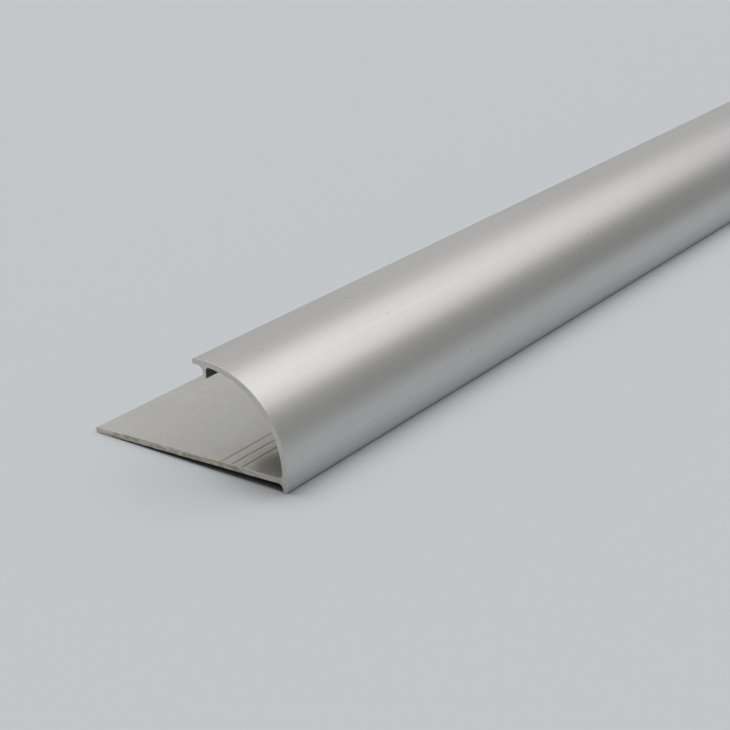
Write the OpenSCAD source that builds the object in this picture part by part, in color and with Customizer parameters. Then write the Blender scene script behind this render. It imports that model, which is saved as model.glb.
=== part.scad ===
// Open quarter-round edge trim for tiles, extruded in aluminium and cut square.
// The section is drawn upright, with the face of the nose on x = 0 and the foot of the nose on y = 0.
// It is then tipped until foot and leg tip both touch the floor, and extruded along Y.

/* [Stock] */
// Length of the cut piece
length = 1000; // [100:10:3000]

/* [Quarter round] */
// Height of the section from the foot of the nose to the top of the lip
height = 10; // [9.5:0.1:15]
// Outer radius of the quarter round
nose_radius = 8.35; // [6:0.05:9]
// Thickness of the nose, the quarter round and the lip
wall = 0.5; // [0.4:0.05:0.8]
// Flat stretch of the lip beyond the quarter round
lip_flat = 1.0; // [0.5:0.1:4]

/* [Stop tooth] */
// Distance from the lip's tip to the outer face of the tooth below it
tooth_setback = 1.15; // [0.6:0.05:3]
// Thickness of the tooth
tooth_thickness = 0.3; // [0.2:0.05:0.8]
// Depth of the tooth below the lip
tooth_depth = 1.1; // [0.5:0.1:2]
// Fillet between the tooth and the lip's tip
tooth_outer_fillet = 0.6; // [0.1:0.05:0.7]
// Fillet between the tooth and the quarter round
tooth_inner_fillet = 0.3; // [0.05:0.05:0.4]

/* [Leg] */
// Width of the section from the face of the nose to the leg's tip
width = 21.1; // [16:0.1:40]
// Thickness of the leg
leg_thickness = 0.5; // [0.4:0.05:0.8]
// Height of the leg's underside above the foot of the nose
leg_lift = 0.75; // [0.4:0.05:1.2]
// Fillet between the leg's upper side and the nose
leg_fillet = 0.35; // [0.1:0.05:1]
// Fillet between the leg's underside and the nose
heel_fillet = 0.45; // [0.05:0.05:0.5]

/* [Key grooves] */
// Number of grooves along the leg's upper side
groove_count = 3; // [1:1:6]
// Distance from the face of the nose to the first groove
groove_start = 4.65; // [2.5:0.05:8]
// Distance from one groove to the next
groove_pitch = 1.1; // [0.5:0.05:1.5]
// Width of a groove at the leg's surface
groove_width = 0.4; // [0.2:0.05:0.5]
// Depth of a groove, which is round at its bottom
groove_depth = 0.06; // [0.04:0.02:0.1]

/* [Hidden] */
$fn = 96;

// Heights and places in the upright section
leg_top = leg_lift + leg_thickness;
lip_under = height - wall;
spring_line = height - nose_radius;
lip_reach = nose_radius + lip_flat;
tooth_face = lip_reach - tooth_setback;

// Depth to which fillets and the tooth are rooted in the wall that carries them
root_depth = wall / 4;

// Radii of the round ends: foot of the nose, tip of the leg, tip of the lip and edge of the tooth
foot_round = wall / 2;
tip_round = leg_thickness / 2;
lip_round = wall / 2;
tooth_round = tooth_thickness / 2;

// Straight drop of the tooth from the lip to its round edge
tooth_drop = tooth_depth - tooth_round;

// Radii of the fillets, each limited to a share of the straight stretches that it joins
fillet_share = 0.9;
tooth_outer_radius = min(tooth_outer_fillet, fillet_share * min(tooth_drop, tooth_setback - lip_round));
tooth_inner_radius = min(tooth_inner_fillet, fillet_share * tooth_drop);
heel_radius = min(heel_fillet, fillet_share * (leg_lift - foot_round));

// Radius of a groove's round bottom
groove_radius = (groove_width * groove_width / 4 + groove_depth * groove_depth) / (2 * groove_depth);

// Centres of the two round ends that carry the piece on the floor
foot = [-foot_round, foot_round];
tip = [tip_round - width, leg_lift + tip_round];

// Tilt at which the two rounded ends reach down equally far
stance = foot - tip;
rest_tilt = atan2(-stance.y, stance.x) - asin((tip_round - foot_round) / norm(stance));

// Reach of the tipped section from the centre of the foot to the leg's tip, and the middle of its box
tip_reach = stance.x * cos(rest_tilt) - stance.y * sin(rest_tilt) + tip_round;
box_middle = (foot_round - tip_reach) / 2;

// A quarter of a pipe wall that rises from the nose and turns into the lip
module quarter_round() {
    translate([-nose_radius, spring_line])
        intersection() {
            difference() {
                circle(r = nose_radius);
                circle(r = nose_radius - wall);
            }
            square(nose_radius);
        }
}

// The upright stretch of the nose below the quarter round, round at its foot
module nose() {
    translate([-wall, foot_round])
        square([wall, spring_line - foot_round]);
    translate(foot)
        circle(r = foot_round);
}

// The flat stretch of the lip, round at its tip
module lip() {
    translate([lip_round - lip_reach, lip_under])
        square([lip_flat - lip_round, wall]);
    translate([lip_round - lip_reach, height - lip_round])
        circle(r = lip_round);
}

// A concave fillet in the corner of two walls that run along +x and +y
module corner_fillet(radius) {
    difference() {
        translate([-root_depth, -root_depth])
            square(radius + root_depth);
        translate([radius, radius])
            circle(r = radius);
    }
}

// The tooth that hangs below the lip, round at its edge and filleted at its root
module stop_tooth() {
    translate([-tooth_face, lip_under - tooth_drop])
        square([tooth_thickness, tooth_drop + root_depth]);
    translate([tooth_round - tooth_face, lip_under - tooth_drop])
        circle(r = tooth_round);
    translate([tooth_thickness - tooth_face, lip_under])
        mirror([0, 1])
            corner_fillet(tooth_inner_radius);
    translate([-tooth_face, lip_under])
        rotate(180)
            corner_fillet(tooth_outer_radius);
}

// The flat leg that is bedded under the tiles, with its grooves and its fillets to the nose
module leg() {
    difference() {
        union() {
            translate([tip.x, leg_lift])
                square([-foot_round - tip.x, leg_thickness]);
            translate(tip)
                circle(r = tip_round);
            translate([-wall, leg_top])
                mirror([1, 0])
                    corner_fillet(leg_fillet);
            translate([-wall, leg_lift])
                rotate(180)
                    corner_fillet(heel_radius);
        }
        for (i = [0 : groove_count - 1])
            translate([-groove_start - i * groove_pitch, leg_top + groove_radius - groove_depth])
                circle(r = groove_radius);
    }
}

// The whole section, tipped about its foot and centred over the origin
module resting_section() {
    translate([-box_middle, foot.y])
        rotate(rest_tilt)
            translate(-foot) {
                quarter_round();
                nose();
                lip();
                stop_tooth();
                leg();
            }
}

module trim_profile() {
    color([0.78, 0.78, 0.77])
        rotate([90, 0, 0])
            linear_extrude(height = length, center = true)
                resting_section();
}

trim_profile();
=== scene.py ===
"""Looks of an aluminium tile trim: a straight quarter-round extrusion, lying on a pale floor."""
import math
from collections import namedtuple
from itertools import accumulate

import bmesh
import bpy
from mathutils import Matrix, Vector, noise
from mathutils.geometry import delaunay_2d_cdt


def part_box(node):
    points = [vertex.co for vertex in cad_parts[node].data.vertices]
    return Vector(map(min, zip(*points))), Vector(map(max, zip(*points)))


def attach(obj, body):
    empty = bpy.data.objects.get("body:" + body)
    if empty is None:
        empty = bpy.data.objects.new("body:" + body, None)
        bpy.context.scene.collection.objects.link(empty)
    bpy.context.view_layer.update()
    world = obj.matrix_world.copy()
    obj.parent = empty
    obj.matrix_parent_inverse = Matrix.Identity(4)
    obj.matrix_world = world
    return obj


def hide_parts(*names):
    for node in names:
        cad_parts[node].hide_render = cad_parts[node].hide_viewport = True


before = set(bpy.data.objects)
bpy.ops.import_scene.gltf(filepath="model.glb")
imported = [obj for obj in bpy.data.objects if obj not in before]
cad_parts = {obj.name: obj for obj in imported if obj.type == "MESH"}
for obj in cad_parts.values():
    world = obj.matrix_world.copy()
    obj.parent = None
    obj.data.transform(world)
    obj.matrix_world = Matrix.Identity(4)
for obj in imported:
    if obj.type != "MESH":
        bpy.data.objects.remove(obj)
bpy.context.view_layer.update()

NODE = "trim_profile"
MM = 0.001

# Section of the extrusion, drawn upright with the nose's face on x = 0 and its foot on y = 0
HEIGHT = 10.0 * MM
NOSE_RADIUS = 8.35 * MM
WALL = 0.5 * MM
LIP_FLAT = 1.0 * MM
TOOTH_SETBACK = 1.15 * MM
TOOTH_THICKNESS = 0.3 * MM
TOOTH_DEPTH = 1.1 * MM
TOOTH_OUTER_FILLET = 0.6 * MM
TOOTH_INNER_FILLET = 0.3 * MM
WIDTH = 21.1 * MM
LEG_THICKNESS = 0.5 * MM
LEG_LIFT = 0.75 * MM
LEG_FILLET = 0.35 * MM
HEEL_FILLET = 0.45 * MM
GROOVE_COUNT = 3
GROOVE_START = 4.65 * MM
GROOVE_PITCH = 1.1 * MM
GROOVE_WIDTH = 0.4 * MM
GROOVE_DEPTH = 0.06 * MM

# Straight steps in the outline's arcs; SMALL_STEPS are those of a small quarter round
NOSE_STEPS = 72
HOLLOW_STEPS = 60
TOOTH_STEPS = 10
GROOVE_STEPS = 8
FILLET_STEPS = 8
SMALL_STEPS = 6

# Saw cut: the edge that the blade broke, and how often it changes along the outline
EDGE_BREAK = 0.006 * MM
EDGE_NOISE = 0.8 / MM

# A straight run longer than FLAT is shaded flat up to SUPPORT from its ends
FLAT = 0.25 * MM
SUPPORT = 0.02 * MM

# Turn above which an edge of the mesh is shaded sharp
SHARP_TURN = math.radians(30)

# Map for baked textures, and the gap between the stretches on it as a share of its width
BAKE_MAP = "OFBake"
BAKE_GAP = 0.004

# Finishes, in the order of the mesh's material slots
SATIN, MILL, DULL, SAWN = range(4)

# Stretches of a pattern's values over which a tone changes: the whole spread of one pattern,
# that of two blended ones, and the rare peaks that make marks, specks and scratches
SPREAD = (0.3, 0.7)
BLENDED_SPREAD = (0.36, 0.64)
MARK_PEAKS = (0.71, 0.78)
SPECK_PEAKS = (0.74, 0.80)
SCRATCH_PEAKS = (0.68, 0.76)

# Satin face: how often its patterns change along X, Y and Z, its tones, roughness and relief
FACE_LINES = (5 / MM, 0.012 / MM, 5 / MM)
FACE_ETCHING = (6 / MM, 4 / MM, 6 / MM)
FACE_CLOUD = (0.15 / MM, 0.02 / MM, 0.15 / MM)
FACE_MARKS = (1.6 / MM, 1.1 / MM, 1.6 / MM)
FACE_LINES_SHARE = 0.45
FACE_DARK = (0.584, 0.579, 0.571)
FACE_LIGHT = (0.624, 0.619, 0.611)
FACE_MARK = (0.485, 0.485, 0.475)
FACE_ROUGHNESS = (0.30, 0.36)
FACE_RELIEF = 0.002 * MM

# Bare leg: patterns as above, and the direction and strength of the scratches across it
LEG_LINES = (4 / MM, 0.03 / MM, 4 / MM)
LEG_MOTTLE = (2.4 / MM, 1.6 / MM, 2.4 / MM)
LEG_CLOUD = (0.25 / MM, 0.12 / MM, 0.25 / MM)
LEG_SPECKS = (4.5 / MM, 4.5 / MM, 4.5 / MM)
LEG_SCRATCHES = (5 / MM, 0.07 / MM, 1 / MM)
LEG_LINES_SHARE = 0.35
SCRATCH_TURN = math.radians(62)
SCRATCH_STRENGTH = 0.5

# Tones of the bare leg, from its tip to the corner by the nose, and how far its grain changes them; the middle
# tone is painted shade under the lip, the warm tone is painted light by the grooves, and the corner tone is
# painted shade by the nose
LEG_OUTER = (0.431, 0.427, 0.402)
LEG_MIDDLE_PAINTED_SHADE = (0.400, 0.397, 0.373)
LEG_WARM_PAINTED_LIGHT = (0.518, 0.498, 0.456)
LEG_CORNER_PAINTED_SHADE = (0.279, 0.268, 0.251)
LEG_SPECK = (0.27, 0.26, 0.24)
LEG_SCRATCH = (0.34, 0.335, 0.31)
LEG_GRAIN = (0.96, 1.04)
LEG_ROUGHNESS = (0.46, 0.54)
LEG_RELIEF = 0.004 * MM
LEG_METALLIC = 0.5

# Stretches along X over which the leg's painted shade and painted light come in, and how far the cloud moves
# them
LEG_WAVER = 4 * MM
MIDDLE_SHADE_STARTS = (-5 * MM, 1 * MM)
WARM_LIGHT_STARTS = (3 * MM, 8 * MM)
CORNER_SHADE_STARTS = (8.3 * MM, 9.5 * MM)

# Hollow side: its lines, the dark and light tones of the hollow, of the nook behind the tooth (painted shade)
# and of the leg's underside (painted shade), and the heights at which the nook and the hollow start
HOLLOW_LINES = (3 / MM, 0.05 / MM, 3 / MM)
HOLLOW_TONES = ((0.50, 0.493, 0.473), (0.58, 0.572, 0.55))
NOOK_SHADE_TONES = ((0.15, 0.147, 0.14), (0.20, 0.196, 0.188))
UNDER_SHADE_TONES = ((0.06, 0.059, 0.056), (0.09, 0.088, 0.084))
NOOK_SHADE_STARTS = (7.7 * MM, 8.2 * MM)
HOLLOW_STARTS = (1.0 * MM, 1.4 * MM)
HOLLOW_ROUGHNESS = (0.55, 0.65)
HOLLOW_RELIEF = 0.005 * MM
HOLLOW_METALLIC = 0.5

# Cut ends: scores and blotches, dark and light tones of the clean metal and of the stain
SAW_SCORES = (0.6 / MM, 1 / MM, 14 / MM)
END_BLOTCHES = (0.9 / MM, 1 / MM, 2.5 / MM)
SAWN_TONES = ((0.669, 0.648, 0.615), (0.76, 0.737, 0.702))
STAIN_TONES = ((0.45, 0.403, 0.318), (0.73, 0.696, 0.628))
STAIN_SPREAD = (0.38, 0.66)
SAWN_ROUGHNESS = 0.5
SAW_RELIEF = 0.01 * MM

# The stain lies below STAIN_TOP and ends by the nose. Towards the leg's tip and towards the nose
# it gets fresher, by the given amounts.
STAIN_TOP = (1.7 * MM, 1.3 * MM)
STAIN_END = (10.1 * MM, 9.8 * MM)
FRESH_TIP = (-7 * MM, -9.5 * MM, 0.0, 0.14)
FRESH_NOSE = (5.5 * MM, 7 * MM, 0.0, 0.12)

# Light of the studio, as radiance in which 1 is white: a dim surround that rises to a lighter far side
# between two cosines, and soft boxes. A box has a direction, in degrees from +Y towards +X and degrees up,
# a core and an outer edge, in degrees from that direction, and a strength.
SoftBox = namedtuple("SoftBox", "azimuth elevation core edge strength")
SURROUND = 0.035
FAR_SIDE = 0.30
FAR_FADE = (-0.2, 0.6)
OVERHEAD_BOX = SoftBox(azimuth=278, elevation=67.5, core=9, edge=24, strength=6.4)
FAR_BOX = SoftBox(azimuth=15.5, elevation=46, core=1, edge=29, strength=1.05)
FAR_FILL = SoftBox(azimuth=330, elevation=28, core=5, edge=34, strength=0.265)
LEFT_FILL = SoftBox(azimuth=265, elevation=28, core=12, edge=45, strength=0.4)
RIGHT_FILL = SoftBox(azimuth=80, elevation=45, core=15, edge=50, strength=0.27)
NEAR_FILL = SoftBox(azimuth=165, elevation=60, core=8, edge=34, strength=0.2)
SOFT_BOXES = (OVERHEAD_BOX, FAR_BOX, FAR_FILL, LEFT_FILL, RIGHT_FILL, NEAR_FILL)

# Floor, and the backdrop that continues its lit tone above the horizon
BACKDROP = (0.551, 0.5695, 0.582)
FLOOR_LIGHT = (0.567, 0.588, 0.602)
FLOOR_DARK = tuple(0.99 * c for c in FLOOR_LIGHT)
FLOOR_GRAIN = (1 / MM, 1 / MM, 1 / MM)
FLOOR_ROUGHNESS = 0.9
FLOOR_SPECULAR = 0.2
FLOOR_SIZE = 60.0

# Camera of the photograph, from a fit to the section's edges; the image is square
IMAGE_PIXELS = 730
FOCAL_PIXELS = 1674.4
SENSOR = 36.0
CAMERA_PLACE = Vector((84.96, -595.67, 61.56)) * MM
CAMERA_AZIMUTH = math.radians(34.927)
CAMERA_ELEVATION = math.radians(22.537)
CAMERA_CLIP = 1 * MM


def arc(centre, radius, start, end, steps):
    """Points on a circle, from one angle to another in degrees."""
    angles = [math.radians(start + (end - start) * i / steps) for i in range(steps + 1)]
    return [Vector((centre[0] + radius * math.cos(a), centre[1] + radius * math.sin(a))) for a in angles]


def upright_section():
    """The section's outline as a closed run of (point, finish of the face that starts there)."""
    half_wall, half_leg, half_tooth = WALL / 2, LEG_THICKNESS / 2, TOOTH_THICKNESS / 2
    lip_reach = NOSE_RADIUS + LIP_FLAT
    lip_under = HEIGHT - WALL
    leg_top = LEG_LIFT + LEG_THICKNESS
    foot = (-half_wall, half_wall)
    bend = (-NOSE_RADIUS, HEIGHT - NOSE_RADIUS)
    lip_tip = (half_wall - lip_reach, HEIGHT - half_wall)
    leg_tip = (half_leg - WIDTH, LEG_LIFT + half_leg)
    tooth_out = TOOTH_SETBACK - lip_reach
    tooth_in = tooth_out + TOOTH_THICKNESS
    tooth_edge = lip_under - TOOTH_DEPTH + half_tooth

    face = arc(lip_tip, half_wall, 180, 90, SMALL_STEPS)
    face += arc(bend, NOSE_RADIUS, 90, 0, NOSE_STEPS)
    face += arc(foot, half_wall, 0, -90, SMALL_STEPS)

    under = arc(foot, half_wall, -90, -180, SMALL_STEPS)[1:]
    under += arc((-WALL - HEEL_FILLET, LEG_LIFT - HEEL_FILLET), HEEL_FILLET, 0, 90, FILLET_STEPS)

    leg = arc(leg_tip, half_leg, -90, -270, 2 * SMALL_STEPS)
    groove_radius = (GROOVE_WIDTH ** 2 / 4 + GROOVE_DEPTH ** 2) / (2 * GROOVE_DEPTH)
    groove_turn = math.degrees(math.asin(GROOVE_WIDTH / 2 / groove_radius))
    for i in reversed(range(GROOVE_COUNT)):
        centre = (-GROOVE_START - i * GROOVE_PITCH, leg_top + groove_radius - GROOVE_DEPTH)
        leg += arc(centre, groove_radius, 270 - groove_turn, 270 + groove_turn, GROOVE_STEPS)
    leg += arc((-WALL - LEG_FILLET, leg_top + LEG_FILLET), LEG_FILLET, -90, 0, SMALL_STEPS)

    # The tooth's inner fillet touches the quarter round's hollow side and the tooth
    hollow_radius = NOSE_RADIUS - WALL
    fillet_x = tooth_in + TOOTH_INNER_FILLET
    fillet_run = fillet_x - bend[0]
    fillet_rise = math.sqrt((hollow_radius - TOOTH_INNER_FILLET) ** 2 - fillet_run ** 2)
    fillet_turn = math.degrees(math.atan2(fillet_rise, fillet_run))
    inner_fillet = (fillet_x, bend[1] + fillet_rise)
    hollow = arc(bend, hollow_radius, 0, fillet_turn, HOLLOW_STEPS)
    hollow += arc(inner_fillet, TOOTH_INNER_FILLET, fillet_turn, 180, SMALL_STEPS)[1:]

    tooth = arc((tooth_out + half_tooth, tooth_edge), half_tooth, 0, -180, TOOTH_STEPS)
    outer_fillet = (tooth_out - TOOTH_OUTER_FILLET, lip_under - TOOTH_OUTER_FILLET)
    tooth += arc(outer_fillet, TOOTH_OUTER_FILLET, 0, 90, FILLET_STEPS)
    tooth += arc(lip_tip, half_wall, 270, 180, SMALL_STEPS)[:-1]
    runs = ((face, SATIN), (under, DULL), (leg, MILL), (hollow, DULL), (tooth, MILL))
    return [(p, finish) for run, finish in runs for p in run]


def resting_section():
    """The outline tipped until the foot and the leg's tip touch the floor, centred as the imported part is."""
    half_wall, half_leg = WALL / 2, LEG_THICKNESS / 2
    foot = Vector((-half_wall, half_wall))
    tip = Vector((half_leg - WIDTH, LEG_LIFT + half_leg))
    stance = foot - tip
    tilt = math.atan2(-stance.y, stance.x) - math.asin((half_leg - half_wall) / stance.length)
    turn = Matrix.Rotation(tilt, 2)
    tip_reach = half_leg - (turn @ (tip - foot)).x
    middle = (half_wall - tip_reach) / 2
    place = Vector((-middle, half_wall))
    return [(place + turn @ (p - foot), finish) for p, finish in upright_section()]


def supported(section):
    """The outline with a further point close to both ends of each flat run, which keeps its shading flat."""
    found = []
    for (p, finish), (q, _) in zip(section, section[1:] + section[:1]):
        found.append((p, finish))
        run = q - p
        if run.length > FLAT:
            step = run.normalized() * SUPPORT
            found += [(p + step, finish), (q - step, finish)]
    return found


def inward_normals(points):
    """Unit normals into the metal at each point of a closed outline that runs clockwise."""
    found = []
    for i in range(len(points)):
        along = (points[(i + 1) % len(points)] - points[i - 1]).normalized()
        found.append(Vector((along.y, -along.x)))
    return found


def cap_triangles(ring):
    """Index triples that fill the closed outline of a ring, worked out in millimetres."""
    inside_only = 1
    precision = 1e-6
    flat = [Vector((v.co.x, v.co.z)) / MM for v in ring]
    run = list(range(len(flat)))
    filled = delaunay_2d_cdt(flat, [], [run], inside_only, precision)
    faces, sources = filled[2], filled[3]
    return [tuple(sources[i][0] for i in face) for face in faces]


def bake_places(points, low, high):
    """Two functions that give places on the bake map: one for the long sides, one for the cut ends.

    The two halves of the length lie above each other, unrolled along the outline, and the ends above them.
    """
    half_length = (high.y - low.y) / 2
    steps = [(q - p).length for p, q in zip(points, points[1:] + points[:1])]
    runs = [0.0, *accumulate(steps)]
    across = (1 - 4 * BAKE_GAP) / (2 * runs[-1] + high.z - low.z)
    along = (1 - 2 * BAKE_GAP) / half_length
    band = runs[-1] * across + BAKE_GAP

    def side(half, y, step):
        u = BAKE_GAP + (y - low.y - half * half_length) * along
        return u, BAKE_GAP + half * band + runs[step] * across

    def end(which, co):
        u = BAKE_GAP + which * ((high.x - low.x) * across + BAKE_GAP) + (co.x - low.x) * across
        return u, BAKE_GAP + 2 * band + (co.z - low.z) * across

    return side, end


def add_rings(mesh, points, stations):
    """One ring of vertices for each station along Y, drawn in a little and unevenly at the two cuts."""
    normals = inward_normals(points)
    rings = []
    for y in stations:
        at_cut = y in (stations[0], stations[-1])
        ring = []
        for p, n in zip(points, normals):
            uneven = 0.5 + 0.5 * noise.noise(Vector((p.x, y, p.y)) * EDGE_NOISE)
            inset = EDGE_BREAK * uneven if at_cut else 0.0
            q = p + n * inset
            ring.append(mesh.verts.new((q.x, y, q.y)))
        rings.append(ring)
    return rings


def add_sides(mesh, bake, rings, finishes, place):
    """Four strips of faces between the rings, two for each half of the length; the outermost are sawn."""
    count = len(finishes)
    for k, (a, b) in enumerate(zip(rings, rings[1:])):
        half = k // 2
        broken = k in (0, len(rings) - 2)
        for i in range(count):
            j = (i + 1) % count
            face = mesh.faces.new((a[i], a[j], b[j], b[i]))
            face.material_index = SAWN if broken else finishes[i]
            for loop, step in zip(face.loops, (i, i + 1, i + 1, i)):
                loop[bake].uv = place(half, loop.vert.co.y, step)


def add_caps(mesh, bake, rings, place):
    """The two cut faces."""
    for which, ring in enumerate((rings[0], rings[-1])):
        for corners in cap_triangles(ring):
            face = mesh.faces.new([ring[i] for i in corners])
            face.material_index = SAWN
            for loop in face.loops:
                loop[bake].uv = place(which, loop.vert.co)


def set_shading(mesh):
    """Normals outwards and smooth shading, apart from sharp turns and the borders of the sawn faces."""
    bmesh.ops.recalc_face_normals(mesh, faces=mesh.faces)
    for face in mesh.faces:
        face.smooth = True
    for edge in mesh.edges:
        sawn_sides = [face.material_index == SAWN for face in edge.link_faces]
        edge.smooth = edge.calc_face_angle() < SHARP_TURN and sawn_sides[0] == sawn_sides[1]


def build_profile():
    """The extrusion as one closed mesh, with sawn and slightly broken edges at both ends."""
    low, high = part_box(NODE)
    section = supported(resting_section())
    points = [p for p, _ in section]
    finishes = [finish for _, finish in section]
    middle = (low.y + high.y) / 2
    stations = [low.y, low.y + EDGE_BREAK, middle, high.y - EDGE_BREAK, high.y]
    side_place, end_place = bake_places(points, low, high)

    mesh = bmesh.new()
    bake = mesh.loops.layers.uv.new(BAKE_MAP)
    rings = add_rings(mesh, points, stations)
    add_sides(mesh, bake, rings, finishes, side_place)
    add_caps(mesh, bake, rings, end_place)
    set_shading(mesh)
    data = bpy.data.meshes.new("extrusion")
    mesh.to_mesh(data)
    mesh.free()
    piece = bpy.data.objects.new("extrusion", data)
    bpy.context.scene.collection.objects.link(piece)
    return piece


def smooth_range(tree, value, low, high, to_low, to_high):
    """A value that goes smoothly from to_low to to_high as another goes from low to high."""
    made = tree.nodes.new("ShaderNodeMapRange")
    made.interpolation_type = "SMOOTHSTEP"
    tree.links.new(value, made.inputs["Value"])
    for name, number in zip(("From Min", "From Max", "To Min", "To Max"), (low, high, to_low, to_high)):
        made.inputs[name].default_value = number
    return made.outputs["Result"]


class Shader:
    """A material's node tree with short calls for the nodes that the finishes use."""

    def __init__(self, name):
        self.material = bpy.data.materials.new(name)
        self.material.use_nodes = True
        self.tree = self.material.node_tree
        self.surface = self.tree.nodes["Principled BSDF"]
        self.coords = self.node("ShaderNodeTexCoord").outputs["Object"]

    def node(self, kind, **settings):
        made = self.tree.nodes.new(kind)
        for key, value in settings.items():
            setattr(made, key, value)
        return made

    def put(self, socket, value):
        """Links an output to a socket, or sets the socket to a number or to an opaque colour."""
        if isinstance(value, bpy.types.NodeSocket):
            self.tree.links.new(value, socket)
        elif isinstance(value, tuple):
            socket.default_value = (*value, 1)
        else:
            socket.default_value = value

    def along(self, axis):
        """The object coordinate along an axis, given by its letter."""
        made = self.node("ShaderNodeSeparateXYZ")
        self.put(made.inputs["Vector"], self.coords)
        return made.outputs[axis]

    def stretch(self, scale, turn):
        """Object coordinates turned about Z, times a scale for each axis."""
        turned = self.node("ShaderNodeMapping")
        turned.inputs["Rotation"].default_value = (0, 0, turn)
        self.put(turned.inputs["Vector"], self.coords)
        made = self.node("ShaderNodeMapping")
        made.inputs["Scale"].default_value = scale
        self.put(made.inputs["Vector"], turned.outputs["Vector"])
        return made.outputs["Vector"]

    def noise(self, scale, detail=2.0, rough=0.5, turn=0.0):
        made = self.node("ShaderNodeTexNoise")
        self.put(made.inputs["Vector"], self.stretch(scale, turn))
        made.inputs["Scale"].default_value = 1.0
        made.inputs["Detail"].default_value = detail
        made.inputs["Roughness"].default_value = rough
        return made.outputs["Fac"]

    def ramp(self, value, low, high, to_low=0.0, to_high=1.0):
        return smooth_range(self.tree, value, low, high, to_low, to_high)

    def mix(self, factor, a, b):
        made = self.node("ShaderNodeMix", data_type="RGBA")
        self.put(made.inputs["Factor"], factor)
        self.put(made.inputs["A"], a)
        self.put(made.inputs["B"], b)
        return made.outputs["Result"]

    def math(self, operation, *values):
        made = self.node("ShaderNodeMath", operation=operation)
        for socket, value in zip(made.inputs, values):
            self.put(socket, value)
        return made.outputs[0]

    def blend(self, a, b, share):
        """A share of the first value plus the rest of the second."""
        rest = self.math("MULTIPLY", b, 1 - share)
        return self.math("MULTIPLY_ADD", a, share, rest)

    def bump(self, height, depth):
        made = self.node("ShaderNodeBump")
        self.put(made.inputs["Height"], height)
        made.inputs["Distance"].default_value = depth
        made.inputs["Strength"].default_value = 1.0
        return made.outputs["Normal"]

    def metal(self, tone, metallic, roughness, normal):
        """Sets the surface and gives the finished material."""
        self.put(self.surface.inputs["Base Color"], tone)
        self.put(self.surface.inputs["Metallic"], metallic)
        self.put(self.surface.inputs["Roughness"], roughness)
        self.put(self.surface.inputs["Normal"], normal)
        return self.material


def satin_aluminium():
    """Silver anodised face: a matt etched grain, faint die lines along the length and a few small marks."""
    s = Shader("satin_face")
    lines = s.noise(FACE_LINES, 3.0, 0.6)
    etching = s.noise(FACE_ETCHING, 3.0, 0.6)
    cloud = s.noise(FACE_CLOUD, 3.0)
    marks = s.ramp(s.noise(FACE_MARKS), *MARK_PEAKS)
    grain = s.blend(lines, etching, FACE_LINES_SHARE)
    tone = s.mix(s.ramp(grain, *BLENDED_SPREAD), FACE_DARK, FACE_LIGHT)
    tone = s.mix(marks, tone, FACE_MARK)
    return s.metal(tone, 1.0, s.ramp(cloud, *SPREAD, *FACE_ROUGHNESS), s.bump(grain, FACE_RELIEF))


def mill_aluminium():
    """Bare leg: duller than the face and mottled, with painted shade under the lip and in the corner by the
    nose, and painted light, a little warmer, by the grooves.
    """
    s = Shader("mill_leg")
    lines = s.noise(LEG_LINES, 4.0, 0.65)
    mottle = s.noise(LEG_MOTTLE, 5.0, 0.6)
    cloud = s.noise(LEG_CLOUD, 3.0)
    specks = s.ramp(s.noise(LEG_SPECKS, 1.0), *SPECK_PEAKS)
    streaks = s.noise(LEG_SCRATCHES, 1.0, turn=SCRATCH_TURN)
    scratches = s.ramp(streaks, *SCRATCH_PEAKS, 0.0, SCRATCH_STRENGTH)
    relief = s.blend(lines, mottle, LEG_LINES_SHARE)
    grain = s.ramp(relief, *BLENDED_SPREAD)

    def grained(colour):
        """The colour, a little darker or lighter with the grain."""
        dark, light = (tuple(share * c for c in colour) for share in LEG_GRAIN)
        return s.mix(grain, dark, light)

    # Painted shade and painted light across the leg: darker under the lip, lighter and warmer by the grooves,
    # dark in the corner by the nose
    place = s.math("MULTIPLY_ADD", cloud, LEG_WAVER, s.along("X"))
    tone = s.mix(s.ramp(place, *MIDDLE_SHADE_STARTS), grained(LEG_OUTER), grained(LEG_MIDDLE_PAINTED_SHADE))
    tone = s.mix(s.ramp(place, *WARM_LIGHT_STARTS), tone, grained(LEG_WARM_PAINTED_LIGHT))
    tone = s.mix(s.ramp(place, *CORNER_SHADE_STARTS), tone, grained(LEG_CORNER_PAINTED_SHADE))
    tone = s.mix(specks, tone, LEG_SPECK)
    tone = s.mix(scratches, tone, LEG_SCRATCH)
    return s.metal(tone, LEG_METALLIC, s.ramp(cloud, *SPREAD, *LEG_ROUGHNESS), s.bump(relief, LEG_RELIEF))


def dull_aluminium():
    """Hollow side of the nose: grey and rough, with painted shade in the nook behind the tooth and on the
    underside.
    """
    s = Shader("dull_hollow")
    lines = s.noise(HOLLOW_LINES, 4.0, 0.65)
    grain = s.ramp(lines, *SPREAD)
    # The nook's and the underside's dark tones are painted shade
    hollow, nook_shade, under = (s.mix(grain, *tones) for tones in (HOLLOW_TONES, NOOK_SHADE_TONES, UNDER_SHADE_TONES))
    tone = s.mix(s.ramp(s.along("Z"), *NOOK_SHADE_STARTS), hollow, nook_shade)
    tone = s.mix(s.ramp(s.along("Z"), *HOLLOW_STARTS), under, tone)
    roughness = s.ramp(lines, *SPREAD, *HOLLOW_ROUGHNESS)
    return s.metal(tone, HOLLOW_METALLIC, roughness, s.bump(lines, HOLLOW_RELIEF))


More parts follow.
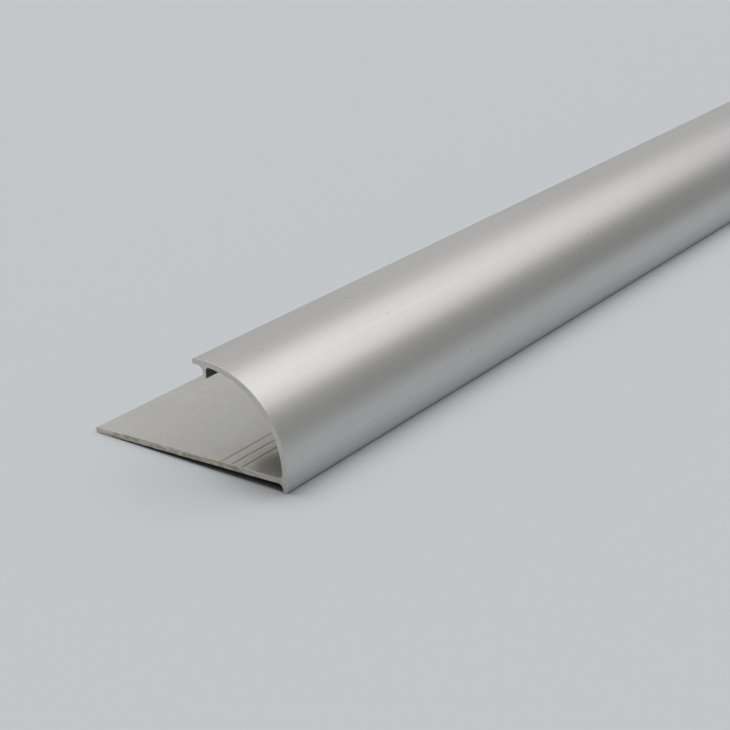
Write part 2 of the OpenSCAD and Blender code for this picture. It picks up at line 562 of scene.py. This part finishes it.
def sawn_aluminium():
    """Cut ends: dull, scored by the saw, with a tan stain on the leg."""
    s = Shader("sawn_end")
    scores = s.noise(SAW_SCORES, 3.0, 0.6)
    blotches = s.noise(END_BLOTCHES, 4.0, 0.65)
    clean = s.mix(s.ramp(scores, *SPREAD), *SAWN_TONES)
    toward_tip = s.ramp(s.along("X"), *FRESH_TIP)
    toward_nose = s.ramp(s.along("X"), *FRESH_NOSE)
    fresh = s.math("ADD", blotches, s.math("ADD", toward_tip, toward_nose))
    stain = s.mix(s.ramp(fresh, *STAIN_SPREAD), *STAIN_TONES)
    on_leg = s.math("MULTIPLY", s.ramp(s.along("Z"), *STAIN_TOP), s.ramp(s.along("X"), *STAIN_END))
    return s.metal(s.mix(on_leg, clean, stain), 1.0, SAWN_ROUGHNESS, s.bump(scores, SAW_RELIEF))


def pale_floor():
    """A plain pale sheet under the piece."""
    mesh = bpy.data.meshes.new("floor")
    half = FLOOR_SIZE / 2
    corners = [(-half, -half, 0), (half, -half, 0), (half, half, 0), (-half, half, 0)]
    mesh.from_pydata(corners, [], [(0, 1, 2, 3)])
    floor = bpy.data.objects.new("floor", mesh)
    bpy.context.scene.collection.objects.link(floor)
    s = Shader("floor_sheet")
    s.put(s.surface.inputs["Base Color"], s.mix(s.noise(FLOOR_GRAIN), FLOOR_DARK, FLOOR_LIGHT))
    s.surface.inputs["Roughness"].default_value = FLOOR_ROUGHNESS
    s.surface.inputs["Specular IOR Level"].default_value = FLOOR_SPECULAR
    mesh.materials.append(s.material)


def studio_light():
    """Soft light from all round and from soft boxes; the camera sees the backdrop's plain colour instead."""
    world = bpy.data.worlds.new("studio")
    bpy.context.scene.world = world
    world.use_nodes = True
    tree = world.node_tree
    tree.nodes.clear()
    view = tree.nodes.new("ShaderNodeTexCoord").outputs["Generated"]

    def fade(toward, low, high, start, strength):
        """A strength that rises as the ray turns towards a direction, between two cosines."""
        turn = tree.nodes.new("ShaderNodeVectorMath")
        turn.operation = "DOT_PRODUCT"
        tree.links.new(view, turn.inputs[0])
        turn.inputs[1].default_value = toward
        return smooth_range(tree, turn.outputs["Value"], low, high, start, strength)

    def shine(box):
        """The strength of a soft box."""
        azimuth, elevation = math.radians(box.azimuth), math.radians(box.elevation)
        flat = math.cos(elevation)
        toward = (flat * math.sin(azimuth), flat * math.cos(azimuth), math.sin(elevation))
        edge, core = math.cos(math.radians(box.edge)), math.cos(math.radians(box.core))
        return fade(toward, edge, core, 0.0, box.strength)

    total = fade((0, 1, 0), *FAR_FADE, SURROUND, FAR_SIDE)
    for box in SOFT_BOXES:
        add = tree.nodes.new("ShaderNodeMath")
        tree.links.new(total, add.inputs[0])
        tree.links.new(shine(box), add.inputs[1])
        total = add.outputs[0]
    light = tree.nodes.new("ShaderNodeBackground")
    light.inputs["Color"].default_value = (1, 1, 1, 1)
    backdrop = tree.nodes.new("ShaderNodeBackground")
    backdrop.inputs["Color"].default_value = (*BACKDROP, 1)
    path = tree.nodes.new("ShaderNodeLightPath")
    choose = tree.nodes.new("ShaderNodeMixShader")
    output = tree.nodes.new("ShaderNodeOutputWorld")
    tree.links.new(total, light.inputs["Strength"])
    tree.links.new(path.outputs["Is Camera Ray"], choose.inputs["Fac"])
    tree.links.new(light.outputs[0], choose.inputs[1])
    tree.links.new(backdrop.outputs[0], choose.inputs[2])
    tree.links.new(choose.outputs[0], output.inputs["Surface"])


def photo_camera():
    """The camera at the photograph's place and angle."""
    data = bpy.data.cameras.new("camera")
    data.sensor_width = SENSOR
    data.lens = FOCAL_PIXELS / IMAGE_PIXELS * SENSOR
    data.clip_start = CAMERA_CLIP
    camera = bpy.data.objects.new("camera", data)
    camera.location = CAMERA_PLACE
    camera.rotation_euler = (math.pi / 2 - CAMERA_ELEVATION, 0, CAMERA_AZIMUTH)
    bpy.context.scene.collection.objects.link(camera)
    bpy.context.scene.camera = camera


bpy.context.scene.view_settings.view_transform = "Standard"
photo_camera()
studio_light()
pale_floor()

extrusion = build_profile()
for finish in (satin_aluminium(), mill_aluminium(), dull_aluminium(), sawn_aluminium()):
    extrusion.data.materials.append(finish)
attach(extrusion, "root")
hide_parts(NODE)
